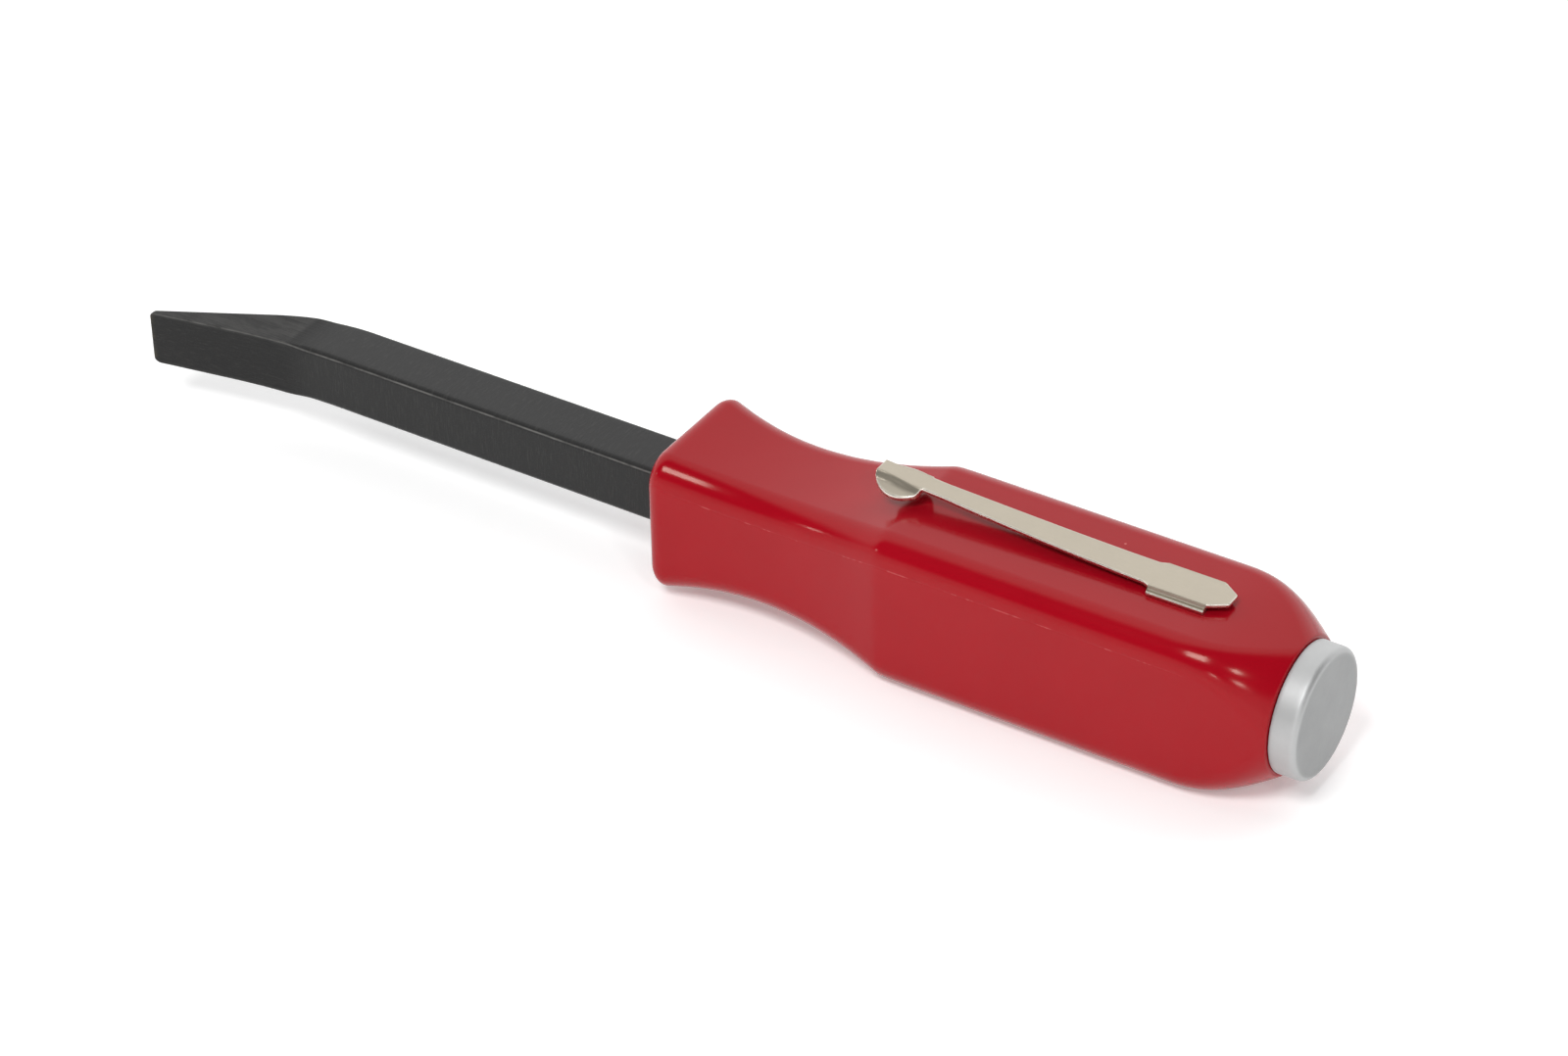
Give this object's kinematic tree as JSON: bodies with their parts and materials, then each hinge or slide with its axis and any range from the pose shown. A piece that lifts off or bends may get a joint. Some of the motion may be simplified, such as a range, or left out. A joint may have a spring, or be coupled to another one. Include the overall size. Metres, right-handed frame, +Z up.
{
  "type": "pocket pry bar",
  "caption": "Pocket pry bar: square steel bar with a cranked wedge tip, square plastic handle with a pinched waist, steel strike cap and a sprung pocket clip.",
  "frame": {"origin": "middle of the tool's length, on its middle plane, in the plane of the handle's flat underside", "axes": "+X along the bar from the tip to the strike cap, +Z up through the pocket clip, -Y the side that the tip is cranked towards"},
  "size_m": [0.13, 0.0164, 0.019],
  "materials": {
    "blade": "black oxide on ground steel, satin",
    "handle": "slightly clear red plastic, glossy",
    "cap": "turned steel, satin",
    "clip": "nickel-plated spring steel, satin"
  },
  "bodies": {
    "tool": {"pry_blade": "blade", "handle": "handle", "strike_cap": "cap", "clip_base": "clip"},
    "clip_arm": {"clip_arm": "clip"}
  },
  "joints": [
    {"name": "clip_flex", "type": "hinge", "parent": "tool", "child": "clip_arm", "pos_m": [0.0475, 0, 0.01722], "axis": [0, 1, 0], "range_deg": [-1.8, 7], "stiffness_Nm_per_rad": 0.5}
  ]
}
